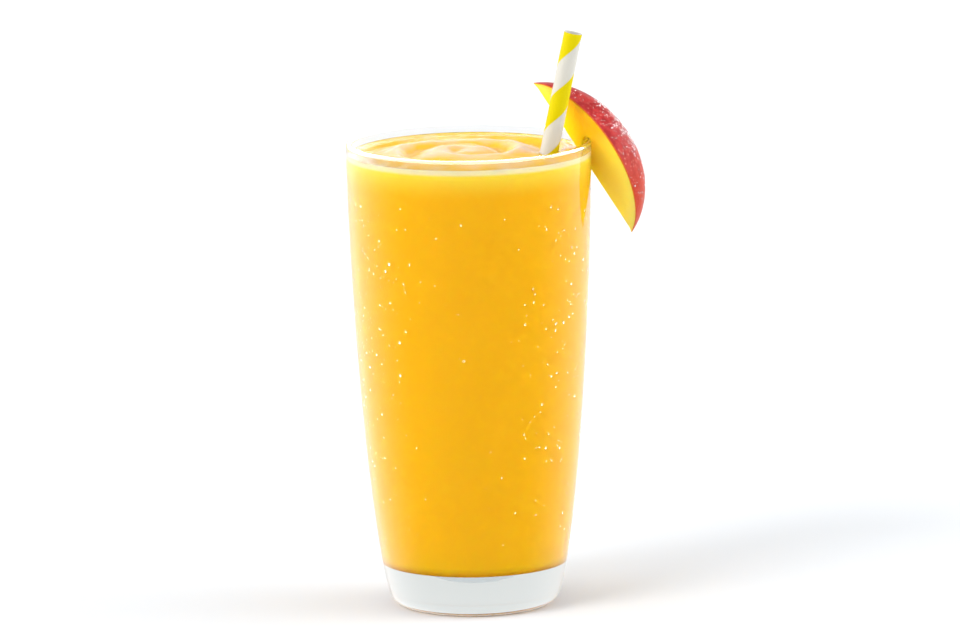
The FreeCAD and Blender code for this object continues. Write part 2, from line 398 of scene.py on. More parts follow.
def drink_surface(x, y):
    """Height of the drink: a low heap with one fold of the pour spiralling round it, and soft
    lumps where two swaying waves cross.

    The fold is a wave along the radius whose crest moves outwards with the angle. It is uneven
    round the glass, dies out in the middle and runs level into the wall. The drink climbs a
    little at the wall and at the straw."""
    radius = np.hypot(x, y)
    angle = np.arctan2(y, x)
    phase = 2 * math.pi * radius / SWIRL_PITCH - angle + SWIRL_START
    uneven = (1 + TWO_SIDED * np.sin(2 * angle + TWO_SIDED_START)
              + THREE_SIDED * np.sin(3 * angle + THREE_SIDED_START))
    fold = SWIRL_HEIGHT * uneven * np.sin(phase + FOLD_LEAN * np.sin(phase))
    fold *= 1 - np.exp(-(radius / CALM_CENTRE) ** 2)
    lumps = LUMP_HEIGHT * (np.sin(x / LUMP_WIDTH + LUMP_SWAY * np.sin(y / LUMP_DRIFT))
                           * np.sin(y / LUMP_DEPTH + LUMP_SWAY * np.sin(x / LUMP_DRIFT + 1)))
    heap = HEAP_HEIGHT * np.exp(-(radius / HEAP_RADIUS) ** 2)
    wall_radius = inner_radius(DRINK_LEVEL)
    straw_x = straw_foot[0] + (DRINK_LEVEL - straw_foot[2]) * math.tan(straw_lean)
    to_straw = np.hypot((x - straw_x) * math.cos(straw_lean), y - straw_foot[1]) - STRAW_RADIUS
    climb = MENISCUS_HEIGHT * (np.exp(-(wall_radius - radius) / MENISCUS_WIDTH)
                               + np.exp(-np.clip(to_straw, 0, None) / MENISCUS_WIDTH))
    return DRINK_LEVEL + (fold + lumps + heap) * eased((wall_radius - radius) / CALM_EDGE) + climb


def drink_in_wall(z):
    """The drink's radius: it reaches just into the glass, so that no air gap shows."""
    return inner_radius(z) + INTO_WALL


def smoothie_mesh(name):
    """The drink as a turned body whose top is lifted to the folded surface."""
    base = corner(drink_in_wall, BASE_THICKNESS - INTO_WALL, FLOOR_ROUNDING, FLOOR_STEPS)
    across = np.linspace(0, 1, BOTTOM_RINGS)[:-1]
    bottom = np.stack([base[0, 0] * across, np.full_like(across, BASE_THICKNESS - INTO_WALL)], 1)
    side = wall(drink_in_wall, base[-1, 1], DRINK_LEVEL, SIDE_RINGS)[1:]
    inwards = np.linspace(1, 0, TOP_RINGS)[1:]
    top = np.stack([side[-1, 0] * inwards, np.full_like(inwards, DRINK_LEVEL)], 1)
    profile = np.concatenate([bottom, base, side, top])
    piece = turned_piece(name, profile, TURN_STEPS)
    mesh = piece.data
    points = np.empty(len(mesh.vertices) * 3)
    mesh.vertices.foreach_get("co", points)
    points = points.reshape(-1, 3)
    on_top = points[:, 2] > DRINK_LEVEL - MESH_ROUNDING
    points[on_top, 2] = drink_surface(points[on_top, 0], points[on_top, 1])
    mesh.vertices.foreach_set("co", points.ravel())
    mesh.update()
    return piece


smoothie = smoothie_mesh("mango_smoothie")


def rise(tree, value, low, high, at_low=0.0, at_high=1.0):
    """A smooth step from one value to another as the value that it follows goes from low to high."""
    step = tree.nodes.new("ShaderNodeMapRange")
    step.interpolation_type = "SMOOTHSTEP"
    feed(tree, step.inputs["Value"], value)
    feed(tree, step.inputs["From Min"], low)
    feed(tree, step.inputs["From Max"], high)
    feed(tree, step.inputs["To Min"], at_low)
    feed(tree, step.inputs["To Max"], at_high)
    return step.outputs[0]


# Patches: a share made uneven over the surface, by noise about its middle times a strength.
patches, given, gives = node_group("patches", {"Place": "NodeSocketVector", "Share": "NodeSocketFloat",
                                               "Scale": "NodeSocketFloat", "Detail": "NodeSocketFloat",
                                               "Strength": "NodeSocketFloat"},
                                   {"Share": "NodeSocketFloat"})
clouds = maths(patches, "SUBTRACT", noise(patches, given["Place"], given["Scale"], given["Detail"]), 0.5)
clouds = maths(patches, "MULTIPLY", clouds, given["Strength"])
feed(patches, gives["Share"], maths(patches, "ADD", given["Share"], clouds))


def puree(name, specular, roughness):
    """Puree, scattering light a few millimetres deep, with the gloss of its own surface.

    After the material, shader and tree come the place on the piece and its height."""
    mat, shader, tree = material(name)
    shader.inputs["Roughness"].default_value = roughness
    shader.inputs["Specular IOR Level"].default_value = specular
    shader.inputs["Subsurface Weight"].default_value = 0.6
    shader.inputs["Subsurface Radius"].default_value = (1.0, 0.65, 0.15)
    shader.inputs["Subsurface Scale"].default_value = 8 * MM
    coords = tree.nodes.new("ShaderNodeTexCoord")
    axes = tree.nodes.new("ShaderNodeSeparateXYZ")
    tree.links.new(coords.outputs["Object"], axes.inputs[0])
    return mat, shader, tree, coords.outputs["Object"], axes.outputs["Z"]


PUREE_BODY = (0.98, 0.548, 0.014, 1)
# The puree's colour near the top, painted lighter and yellower: a painted glow for the light from above
# that shines into the drink.
LIT_FROM_ABOVE = (0.99, 0.74, 0.07, 1)
# A painted highlight: a cream band along the drink's top edge, where it meets the wall.
TOP_EDGE_HIGHLIGHT = (0.99, 0.83, 0.54, 1)
# Painted shade: a darker orange just above the foot, where the drink's bottom lies in shade.
FOOT_SHADE = (0.99, 0.42, 0.010, 1)
FOOT_SHADE_HEIGHT = 2.0 * MM
GLOW_DEPTH = 9.5 * MM
GLOW_TOP = 0.5 * MM
HIGHLIGHT_DEPTH = 1.5 * MM
HIGHLIGHT_TOP = 0.3 * MM
PATCHES = 0.12

against_glass, shader, tree, place, height = puree("puree against the glass", 0.0, 0.6)
# Painted light: towards the top the puree turns to the lighter colour, a painted glow standing in for light
# from above.
glow_from_above = rise(tree, height, DRINK_LEVEL - GLOW_DEPTH, DRINK_LEVEL - GLOW_TOP)
glow_from_above = use(tree, patches, {"Place": place, "Share": glow_from_above, "Scale": 90, "Detail": 2.0,
                            "Strength": PATCHES})["Share"]
colour = blend(tree, glow_from_above, PUREE_BODY, LIT_FROM_ABOVE)
# Painted highlight along the top edge of the drink at the wall.
edge_highlight = rise(tree, height, DRINK_LEVEL - HIGHLIGHT_DEPTH, DRINK_LEVEL - HIGHLIGHT_TOP)
colour = blend(tree, edge_highlight, colour, TOP_EDGE_HIGHLIGHT)
# Painted shade at the bottom of the drink, just above the glass's floor.
clear_of_foot_shade = rise(tree, height, BASE_THICKNESS, BASE_THICKNESS + FOOT_SHADE_HEIGHT)
tree.links.new(blend(tree, clear_of_foot_shade, FOOT_SHADE, colour), shader.inputs["Base Color"])
smoothie.data.materials.append(against_glass)

# The open surface is a shaded copy of the puree: painted darker than the puree against the glass, as more
# light falls on it.
OPEN_TOP_SHADED = (0.74, 0.43, 0.018, 1)
# Painted sheen: the crests of the folds turn pale cream, for the soft light they mirror.
SHEEN_ON_CRESTS = (0.74, 0.49, 0.25, 1)
SHEEN_FROM = -0.3 * MM
SHEEN_TO = 2.0 * MM
SHEEN_STREAKS = 1.8

open_top, shader, tree, place, height = puree("open surface of the puree", 0.5, 0.2)
# Painted sheen on the crests of the folds, in uneven streaks.
crest = rise(tree, height, DRINK_LEVEL + SHEEN_FROM, DRINK_LEVEL + SHEEN_TO)
crest = use(tree, patches, {"Place": place, "Share": crest, "Scale": 130, "Detail": 1.5,
                            "Strength": SHEEN_STREAKS})["Share"]
tree.links.new(blend(tree, crest, OPEN_TOP_SHADED, SHEEN_ON_CRESTS), shader.inputs["Base Color"])
smoothie.data.materials.append(open_top)
upward = np.array([face.normal.z > OPEN_FACE for face in smoothie.data.polygons])
smoothie.data.polygons.foreach_set("material_index", upward.astype(int))

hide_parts("smoothie")
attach(smoothie, "root")


# ---- the mango wedge ---------------------------------------------------------------------------
# A slice of ripe mango between two straight cuts, with its skin on. A slot cut across its inner
# edge sits over the rim, and the flesh there is pressed against the glass. Flesh and skin are
# separate pieces of one slice.

FRUIT_LENGTH = 62.6 * MM
FRUIT_WIDTH = 54.2 * MM
FRUIT_THICKNESS = 40.0 * MM
CUT_FRONT = math.radians(35.0)
CUT_BACK = math.radians(-25.0)
TO_CORE = 9.8 * MM
SEAT_OFFSET = 1.8 * MM
SLOT_DEPTH = 9.0 * MM
SLOT_SQUEEZE = 0.08 * MM
SEAT_AZIMUTH = math.radians(12.0)
SLICE_YAW = math.radians(14.0)
SLICE_LEAN = math.radians(33.6)
BELLY_SHIFT = 1.0 * MM
SKIN_THICKNESS = 0.6 * MM
SKIN_EDGE_ROUND = 0.12 * MM
INNER_EDGE_ROUND = 1.0 * MM
CUT_WAVE = 0.12 * MM
WAVE_ALONG = 5.3 * MM
WAVE_OUT = 3.1 * MM
WAVE_DRIFT = 9.0 * MM
WAVE_START = 0.6
FINE_WAVE = 1.9 * MM
CALM_INNER_EDGE = 6.0 * MM
UNDER_SKIN = 0.8 * SKIN_THICKNESS
CORNER_SHARE = 0.3
CUT_STEPS = 26
ARC_STEPS = 22
CORNER_STEPS = 5
INNER_EDGE_STEPS = 7
SKIN_STEPS = 44
SLICE_STATIONS = 90
SLEEVE_STEPS = 24
SLEEVE_LIP_STEPS = 12
TINY = 1e-9

mid_wall = MOUTH_RADIUS - WALL_AT_LIP / 2
slice_seat = np.array([mid_wall * math.cos(SEAT_AZIMUTH), mid_wall * math.sin(SEAT_AZIMUTH),
                       GLASS_HEIGHT - SLOT_DEPTH])
away = np.array([math.cos(SLICE_YAW), -math.sin(SLICE_YAW), 0])
forward = np.array([-math.sin(SLICE_YAW), -math.cos(SLICE_YAW), 0])
down = np.array([0, 0, -1.0])
along = away * math.sin(SLICE_LEAN) + down * math.cos(SLICE_LEAN)
outward = away * math.cos(SLICE_LEAN) - down * math.sin(SLICE_LEAN)
inner_edge_middle = slice_seat - along * SEAT_OFFSET
EDGE_HALF = FRUIT_LENGTH / 2 * math.sqrt(1 - (TO_CORE / (FRUIT_WIDTH / 2)) ** 2)


def reach(t, angle):
    """How far the skin is from the inner edge, at t along it and at an angle from outward.

    The fruit is a ball stretched three ways, with its belly shifted a little down the slice;
    the distance is the larger root of the quadratic where the ray meets it."""
    shifted = t - BELLY_SHIFT * (1 - (t / EDGE_HALF) ** 2)
    left = 1 - (shifted / (FRUIT_LENGTH / 2)) ** 2
    half_width, half_thick = FRUIT_WIDTH / 2, FRUIT_THICKNESS / 2
    a = (np.cos(angle) / half_width) ** 2 + (np.sin(angle) / half_thick) ** 2
    b = TO_CORE * np.cos(angle) / half_width ** 2
    c = (TO_CORE / half_width) ** 2 - left
    return (-b + np.sqrt(np.clip(b * b - a * c, 0, None))) / a


def bend(start, corner_at, end, steps):
    """A rounded corner: a quadratic curve from start to end that leans on the corner."""
    s = np.linspace(0, 1, steps)[:, None, None]
    return (1 - s) ** 2 * start + 2 * s * (1 - s) * corner_at + s * s * end


def polar(r, angle):
    """Points in outward and forward at a distance and an angle from outward."""
    return np.stack(np.broadcast_arrays(r * np.cos(angle), r * np.sin(angle)), -1)


def cut_wave(t, r):
    """The knife's slow waver over a cut face, fading out at the inner edge."""
    wave = np.sin(t / WAVE_ALONG + WAVE_START) * np.sin(r / WAVE_OUT + t / WAVE_DRIFT)
    wave += 0.5 * np.sin(r / FINE_WAVE)
    return CUT_WAVE * wave * eased(r / CALM_INNER_EDGE)


def flesh_rows(t):
    """The slice's outline at each t, in outward and forward, as rows of points.

    It goes out along the front cut, round under the skin and back along the rear cut, with
    all three corners rounded. The second value runs from 0 at the inner edge to 1 at the skin."""
    def under(angle):
        return np.clip(reach(t, angle) - UNDER_SKIN, 0, None)

    front, rear = under(CUT_FRONT), under(CUT_BACK)
    tip = np.minimum(INNER_EDGE_ROUND, CORNER_SHARE * np.minimum(front, rear))
    soft = np.minimum(SKIN_EDGE_ROUND, CORNER_SHARE * np.minimum(front, rear))
    out = np.linspace(0, 1, CUT_STEPS)[:, None]
    front_r = tip + (front - soft - tip) * out
    rear_r = (tip + (rear - soft - tip) * out)[::-1]
    swing = np.linspace(0, 1, ARC_STEPS)[:, None]
    first = CUT_FRONT - soft / (front + TINY)
    last = CUT_BACK + soft / (rear + TINY)
    arc_angle = first + (last - first) * swing
    front_cut = polar(front_r, CUT_FRONT)
    front_cut += cut_wave(t, front_r)[..., None] * np.array([-math.sin(CUT_FRONT), math.cos(CUT_FRONT)])
    rear_cut = polar(rear_r, CUT_BACK)
    arc = polar(under(arc_angle), arc_angle)
    rows = [front_cut, bend(front_cut[-1], polar(front, CUT_FRONT), arc[0], CORNER_STEPS)[1:-1], arc,
            bend(arc[-1], polar(rear, CUT_BACK), rear_cut[0], CORNER_STEPS)[1:-1], rear_cut,
            bend(rear_cut[-1], np.zeros(2), front_cut[0], INNER_EDGE_STEPS)[1:-1]]
    rows = np.concatenate(rows)
    depth = np.hypot(rows[..., 0], rows[..., 1])
    return rows, depth / (depth.max(0) + TINY)


def skin_rows(t):
    """The skin's outline at each t: round the outside, and back at its own thickness."""
    angle = np.linspace(CUT_FRONT, CUT_BACK, SKIN_STEPS)[:, None]
    outer = reach(t, angle)
    inner = outer - np.minimum(SKIN_THICKNESS, 0.5 * outer)
    rows = np.concatenate([polar(outer, angle), polar(inner, angle)[::-1]])
    share = np.concatenate([np.linspace(0, 1, SKIN_STEPS), np.linspace(1, 0, SKIN_STEPS)])
    return rows, np.broadcast_to(share[:, None], rows.shape[:2])


def slice_piece(name, outline, stations):
    """Outlines stacked along the inner edge, closed to a point at both tips.

    The UV map holds the place along the slice and the outline's second value."""
    t = -EDGE_HALF * np.cos(np.linspace(0, math.pi, stations))[1:-1]
    rows, share = outline(t)
    count = len(rows)
    points = (inner_edge_middle + t[None, :, None] * along + rows[..., :1] * outward
              + rows[..., 1:] * forward).transpose(1, 0, 2).reshape(-1, 3)
    tips = inner_edge_middle + np.array([[-EDGE_HALF], [EDGE_HALF]]) * along
    points = np.concatenate([points, tips])
    here = np.arange(count)
    there = (here + 1) % count
    row = np.arange(len(t) - 1)[:, None] * count
    quads = np.stack([row + here, row + there, row + count + there, row + count + here], -1)
    last_row = (len(t) - 1) * count
    first, last = len(points) - 2, len(points) - 1
    faces = quads.reshape(-1, 4).tolist()
    faces += np.stack([np.full(count, first), there, here], 1).tolist()
    faces += np.stack([np.full(count, last), last_row + here, last_row + there], 1).tolist()
    piece = mesh_piece(name, points, faces)
    u = np.append(np.repeat((t / EDGE_HALF + 1) / 2, count), [0, 1])
    v = np.append(share.T.ravel(), [0.5, 0.5])
    corners = np.empty(len(piece.data.loops), int)
    piece.data.loops.foreach_get("vertex_index", corners)
    uv = piece.data.uv_layers.new(name="slice")
    uv.data.foreach_set("uv", np.stack([u[corners], v[corners]], 1).ravel())
    face_out(piece)
    return piece


def face_out(piece):
    """All faces turned outwards."""
    shell = bmesh.new()
    shell.from_mesh(piece.data)
    bmesh.ops.recalc_face_normals(shell, faces=shell.faces)
    shell.to_mesh(piece.data)
    shell.free()


def cut_slot(piece):
    """The rim's slot: the upper wall, thinned by the squeeze, taken out of the piece."""
    shoulder = GLASS_HEIGHT - WALL_AT_LIP / 2
    z = np.linspace(GLASS_HEIGHT - 4 * SLOT_DEPTH, shoulder, SLEEVE_STEPS)
    outer = np.stack([outer_radius(z) - SLOT_SQUEEZE, z], 1)
    inner = np.stack([inner_radius(z) + SLOT_SQUEEZE, z], 1)[::-1]
    over = np.linspace(0, math.pi, SLEEVE_LIP_STEPS)[1:-1]
    middle, half = (outer[-1, 0] + inner[0, 0]) / 2, (outer[-1, 0] - inner[0, 0]) / 2
    lip = np.stack([middle + half * np.cos(over),
                    shoulder + (WALL_AT_LIP / 2 - SLOT_SQUEEZE) * np.sin(over)], 1)
    profile = np.concatenate([outer, lip, inner])
    angle = np.arange(TURN_STEPS) * 2 * math.pi / TURN_STEPS
    points = np.stack([profile[:, :1] * np.cos(angle), profile[:, :1] * np.sin(angle),
                       np.repeat(profile[:, 1:], TURN_STEPS, 1)], -1).reshape(-1, 3)
    sleeve = mesh_piece("rim sleeve", points, ring_grid(len(profile), TURN_STEPS))
    cut = piece.modifiers.new("slot", "BOOLEAN")
    cut.operation = "DIFFERENCE"
    cut.solver = "EXACT"
    cut.object = sleeve
    done = bpy.data.meshes.new_from_object(piece.evaluated_get(bpy.context.evaluated_depsgraph_get()))
    piece.modifiers.clear()
    piece.data = done
    bpy.data.objects.remove(sleeve)


flesh = slice_piece("mango_flesh", flesh_rows, SLICE_STATIONS)
cut_slot(flesh)
skin = slice_piece("mango_skin", skin_rows, SLICE_STATIONS)

RIPE = (0.84, 0.42, 0.008, 1)
LEMON_FLESH = (0.88, 0.57, 0.004, 1)
# Painted glow: a pale flesh for the tips, for light shining through the thin flesh.
PAINTED_GLOW_FLESH = (0.95, 0.84, 0.20, 1)
# Painted light: a brighter flesh for the lower half of the slice, which lies beside the glass in its shade.
PAINTED_LIGHT_FLESH = (0.99, 0.68, 0.005, 1)
UNEVEN_RIPENESS = 0.35

mat, shader, tree = material("mango flesh")
coords = tree.nodes.new("ShaderNodeTexCoord")
place = tree.nodes.new("ShaderNodeSeparateXYZ")
tree.links.new(coords.outputs["UV"], place.inputs[0])
ripeness = use(tree, patches, {"Place": coords.outputs["Object"], "Share": place.outputs[1],
                               "Scale": 180, "Detail": 2.0, "Strength": UNEVEN_RIPENESS})["Share"]
colour = bands(tree, ripeness, [(0.0, LEMON_FLESH), (0.35, LEMON_FLESH), (0.8, RIPE), (1.0, RIPE)])
# Painted glow: the flesh pales towards both tips, most at the lower one.
glow_towards_tips = bands(tree, place.outputs[0], [(0.0, (0.5, 0.5, 0.5, 1)), (0.2, (0, 0, 0, 1)),
                                        (0.42, (0, 0, 0, 1)), (1.0, (1, 1, 1, 1))])
# Painted light: the lower half of the slice is lightened against the glass's shade.
lit_lower_half = bands(tree, place.outputs[0], [(0.46, (0, 0, 0, 1)), (0.62, (1, 1, 1, 1))])
colour = blend(tree, lit_lower_half, colour, PAINTED_LIGHT_FLESH)
colour = blend(tree, glow_towards_tips, colour, PAINTED_GLOW_FLESH)
tree.links.new(colour, shader.inputs["Base Color"])
shader.inputs["Roughness"].default_value = 0.38
shader.inputs["Specular IOR Level"].default_value = 0.3
shader.inputs["Subsurface Weight"].default_value = 0.8
shader.inputs["Subsurface Radius"].default_value = (1.0, 0.7, 0.15)
shader.inputs["Subsurface Scale"].default_value = 7 * MM
fibre = use(tree, grain, {"Place": coords.outputs["Object"], "Scale": 900, "Detail": 3.0,
                          "Depth": 0.12 * MM})
tree.links.new(fibre["Normal"], shader.inputs["Normal"])
flesh.data.materials.clear()
flesh.data.materials.append(mat)

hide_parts("mango_wedge")
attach(flesh, "root")

BLUSH = (0.38, 0.026, 0.025, 1)
DEEP_RED = (0.24, 0.008, 0.010, 1)
WARM_END = (0.36, 0.032, 0.008, 1)
# Pale lenticel dots, which in the middle of the slice also stand for a painted sparkle of the wet skin.
LENTICEL = (0.62, 0.20, 0.16, 1)
CUT_RIND = (0.62, 0.14, 0.02, 1)
EVEN_BLUSH = 0.3
LENTICEL_SCALE = 800

mat, shader, tree = material("mango skin")
coords = tree.nodes.new("ShaderNodeTexCoord")
place = tree.nodes.new("ShaderNodeSeparateXYZ")
tree.links.new(coords.outputs["UV"], place.inputs[0])
cloud = use(tree, patches, {"Place": coords.outputs["Object"], "Share": 0.5, "Scale": 420,
                            "Detail": 3.0, "Strength": 1.0})["Share"]
mottle = bands(tree, cloud, [(0.43, DEEP_RED), (0.57, BLUSH)])
to_end = bands(tree, place.outputs[0], [(0.0, (0, 0, 0, 1)), (0.5, (0, 0, 0, 1)), (0.95, (1, 1, 1, 1))])
colour = blend(tree, to_end, blend(tree, EVEN_BLUSH, mottle, BLUSH), WARM_END)
spots = tree.nodes.new("ShaderNodeTexVoronoi")
spots.inputs["Scale"].default_value = LENTICEL_SCALE
tree.links.new(coords.outputs["Object"], spots.inputs["Vector"])
dots = bands(tree, spots.outputs["Distance"], [(0.0, (1, 1, 1, 1)), (0.34, (0, 0, 0, 1))])
# The lenticel dots are the skin's own, made strongest in the middle of the slice as a painted sparkle of
# the wet skin there.
painted_sparkle_band = bands(tree, place.outputs[0], [(0.15, (0.3, 0.3, 0.3, 1)), (0.42, (1, 1, 1, 1)),
                                      (0.62, (1, 1, 1, 1)), (0.85, (0.2, 0.2, 0.2, 1))])
dots = maths(tree, "MULTIPLY", dots, painted_sparkle_band)
colour = blend(tree, dots, colour, LENTICEL)
rim = bands(tree, place.outputs[1], [(0.0, (1, 1, 1, 1)), (0.012, (0, 0, 0, 1)), (0.988, (0, 0, 0, 1)),
                                     (1.0, (1, 1, 1, 1))])
colour = blend(tree, rim, colour, CUT_RIND)
tree.links.new(colour, shader.inputs["Base Color"])
shader.inputs["Roughness"].default_value = 0.36
shader.inputs["Specular IOR Level"].default_value = 0.12
pores = use(tree, grain, {"Place": coords.outputs["Object"], "Scale": 1100, "Detail": 2.0,
                          "Depth": 0.1 * MM})
tree.links.new(pores["Normal"], shader.inputs["Normal"])
skin.data.materials.append(mat)

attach(skin, "root")


# ---- the water ---------------------------------------------------------------------------------
# Drops left from rinsing on the mango's skin, and a thin mist that has gathered on the cold
# glass. Each drop is a low dome that wets what it sits on.

DROP_STEPS = 8
DOME_ANGLES = np.radians([28, 58, 90])
DOME_LIFT = 0.05
BASE_LIFT = 0.02
NO_NORMAL = [0.3, 0.1, 1.0]
SKIN_STEP = 1e-4

water, shader, tree = material("water")
shader.inputs["Base Color"].default_value = (1, 1, 1, 1)
shader.inputs["Roughness"].default_value = 0.0
shader.inputs["IOR"].default_value = 1.33
shader.inputs["Transmission Weight"].default_value = 1.0


def drops(name, at, normal, size, height):
    """Domes joined in one mesh: rings round the normal, closed by a flat base just clear of the surface."""
    beta = np.arange(DROP_STEPS) * 2 * math.pi / DROP_STEPS
    ring_r = np.append(np.sin(DOME_ANGLES), 1.0)
    ring_h = np.append(np.cos(DOME_ANGLES) + DOME_LIFT, BASE_LIFT)
    template = np.concatenate([
        np.stack([ring_r[:, None] * np.cos(beta), ring_r[:, None] * np.sin(beta),
                  np.repeat(ring_h[:, None], DROP_STEPS, 1)], -1).reshape(-1, 3),
        [[0, 0, 1 + DOME_LIFT], [0, 0, BASE_LIFT]]])
    here, there = np.arange(DROP_STEPS), (np.arange(DROP_STEPS) + 1) % DROP_STEPS
    rings = len(ring_r)
    top, bottom = rings * DROP_STEPS, rings * DROP_STEPS + 1
    row = np.arange(rings - 1)[:, None] * DROP_STEPS
    quads = np.stack([row + there, row + here, row + DROP_STEPS + here, row + DROP_STEPS + there], -1)
    low = (rings - 1) * DROP_STEPS
    fans = np.concatenate([np.stack([np.full(DROP_STEPS, top), here, there], 1),
                           np.stack([np.full(DROP_STEPS, bottom), low + there, low + here], 1)])
    side = np.cross(normal, NO_NORMAL)
    side /= np.linalg.norm(side, axis=1, keepdims=True)
    other = np.cross(normal, side)
    wide = size[:, None] * template[:, 0]
    deep = size[:, None] * template[:, 1]
    tall = (size * height)[:, None] * template[:, 2]
    points = (at[:, None] + wide[..., None] * side[:, None] + deep[..., None] * other[:, None]
              + tall[..., None] * normal[:, None]).reshape(-1, 3)
    step = (np.arange(len(at)) * len(template))[:, None, None]
    faces = (quads.reshape(-1, 4)[None] + step).reshape(-1, 4).tolist()
    faces += (fans[None] + step).reshape(-1, 3).tolist()
    piece = mesh_piece(name, points, faces)
    piece.data.materials.append(water)
    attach(piece, "root")
    return piece


draw = np.random.default_rng(7)


def on_skin(t, angle):
    """The points of the skin at t and angle, and the skin's normals there."""
    def place(t, angle):
        r = reach(t, angle)[:, None]
        return (inner_edge_middle + t[:, None] * along + r * np.cos(angle)[:, None] * outward
                + r * np.sin(angle)[:, None] * forward)

    at = place(t, angle)
    normal = np.cross(place(t + SKIN_STEP, angle) - at, place(t, angle + SKIN_STEP * 10) - at)
    normal /= np.linalg.norm(normal, axis=1, keepdims=True)
    outwards = np.sign(np.sum(normal * (at - inner_edge_middle), 1))[:, None]
    return at, normal * outwards


BEADS = 520
IN_CLUSTER = 0.8
BEAD_SIZE = 0.19
BEAD_SPREAD = 0.35
BEAD_HEIGHT = 0.5
BEAD_SIZES = (0.1, 0.42)

# The cluster's middle and spread, and the reach of the rest: millimetres along, degrees round.
CLUSTER_ALONG = (1, 6)
CLUSTER_ROUND = (-2, 11)
REST_ALONG = (-24, 24)
REST_ROUND = (-24, 34)
MOST_ALONG = (-26, 26)
MOST_ROUND = (-24, 33)

cluster = draw.random(BEADS) < IN_CLUSTER
bead_t = np.where(cluster, draw.normal(*CLUSTER_ALONG, BEADS), draw.uniform(*REST_ALONG, BEADS))
bead_t = np.clip(bead_t, *MOST_ALONG) * MM
bead_angle = np.where(cluster, draw.normal(*CLUSTER_ROUND, BEADS), draw.uniform(*REST_ROUND, BEADS))
bead_angle = np.radians(np.clip(bead_angle, *MOST_ROUND))
at, normal = on_skin(bead_t, bead_angle)
bead_size = draw.lognormal(math.log(BEAD_SIZE), BEAD_SPREAD, BEADS).clip(*BEAD_SIZES) * MM
drops("water_on_skin", at, normal, bead_size, BEAD_HEIGHT)


def on_glass(z, azimuth):
    """The points of the wall's outside at height and azimuth, and the wall's normals there."""
    radius = outer_radius(z)
    lean = np.arctan((outer_radius(z + SLOPE_STEP) - outer_radius(z - SLOPE_STEP)) / (2 * SLOPE_STEP))
    flat = np.stack([np.cos(azimuth), np.sin(azimuth)], 1)
    at = np.column_stack([flat * radius[:, None], z])
    return at, np.column_stack([flat * np.cos(lean)[:, None], -np.sin(lean)])


MIST = 5200
MIST_SIZE = 0.18
MIST_SPREAD = 0.4
MIST_HEIGHT = 0.42
MIST_IN_FRONT = 0.03
MIST_SIZES = (0.1, 0.45)
MIST_FROM_TO = (18, 140)
MIST_SIDES = 3

# Patches: waves round the glass, and waves up it in radians to the metre.
PATCHES_ROUND = (5, 2)
PATCHES_UP = (60, 110)

mist_z = draw.uniform(*MIST_FROM_TO, MIST) * MM
mist_azimuth = draw.uniform(-math.pi, math.pi, MIST)
sideways = np.abs(np.cos(mist_azimuth))
leaning = mist_azimuth * PATCHES_ROUND[0] + mist_z * PATCHES_UP[0]
steep = mist_azimuth * PATCHES_ROUND[1] + mist_z * PATCHES_UP[1]
patchy = 0.5 + 0.5 * np.sin(leaning) * np.sin(steep)
kept = draw.random(MIST) < MIST_IN_FRONT + (1 - MIST_IN_FRONT) * sideways ** MIST_SIDES * patchy
at, normal = on_glass(mist_z[kept], mist_azimuth[kept])
mist_size = draw.lognormal(math.log(MIST_SIZE), MIST_SPREAD, MIST).clip(*MIST_SIZES)[kept] * MM
drops("mist_on_glass", at, normal, mist_size, MIST_HEIGHT)


# ---- the floor ---------------------------------------------------------------------------------
# A plain white sweep, so wide that its edge is never seen. It takes the drink's shadow, and it
# isn't mirrored in the glass.

FLOOR_HALF = 60.0

floor = mesh_piece("floor", np.array([[-1, -1, 0], [1, -1, 0], [1, 1, 0], [-1, 1, 0]]) * FLOOR_HALF,
                   [(0, 1, 2, 3)], smooth=False)
sweep, shader, tree = material("white sweep")
shader.inputs["Base Color"].default_value = (0.66, 0.684, 0.71, 1)
shader.inputs["Roughness"].default_value = 0.9
shader.inputs["Specular IOR Level"].default_value = 0.1
floor.data.materials.append(sweep)
floor.visible_glossy = False


# ---- the light ---------------------------------------------------------------------------------
# A soft sun and a white room: an even dome, a bright wall on each side, the right one the
# brighter, and a lower fill from front and back. What mirrors in glass and gloss is another room.

DOME = 0.28
LEFT_WALL = 6.1
RIGHT_WALL = 8.9
FRONT_AND_BACK = 0.85
LIGHT_FADE = 4.0

# The mirrored room is dark in front and bright in two panels behind the glass's shoulders, the
# left the stronger. High up it is dim, but for a lit ceiling. Only the smooth glass and water see
# the lip light.
MIRROR_FRONT = 0.06
MIRROR_PANELS = 1.8
RIGHT_SHARE = 0.7
MIRROR_BEHIND = 1.1
MIRROR_ABOVE = 0.35
MIRROR_CEILING = 5.0
LIP_LIGHT = 13.0

# Where each turns into the next, as parts of the direction's length.
LEFT_TO_RIGHT_WALL = (-0.1, 0.1)
FRONT_TO_PANELS = (-0.45, 0.8)
LEFT_TO_RIGHT_PANEL = (-0.3, 0.3)
PANELS_TO_BEHIND = (0.8, 0.97)
UP_TO_LIP_LIGHT = (0.08, 0.22)
UP_TO_ABOVE = (0.3, 0.5)
UP_TO_CEILING = (0.84, 0.92)

# Seen straight through the clear glass, the room is a little brighter, as the wall takes some.
THROUGH_GLASS = 1.22
THROUGH_ONE_FACE = 1.5
ANY_SCATTER = 0.5

world = bpy.data.worlds.new("white studio")
bpy.context.scene.world = world
world.use_nodes = True
tree = world.node_tree
direction = tree.nodes.new("ShaderNodeTexCoord")
axes = tree.nodes.new("ShaderNodeSeparateXYZ")
tree.links.new(direction.outputs["Generated"], axes.inputs[0])
across, lengthways, upwards = axes.outputs
ray = tree.nodes.new("ShaderNodeLightPath")


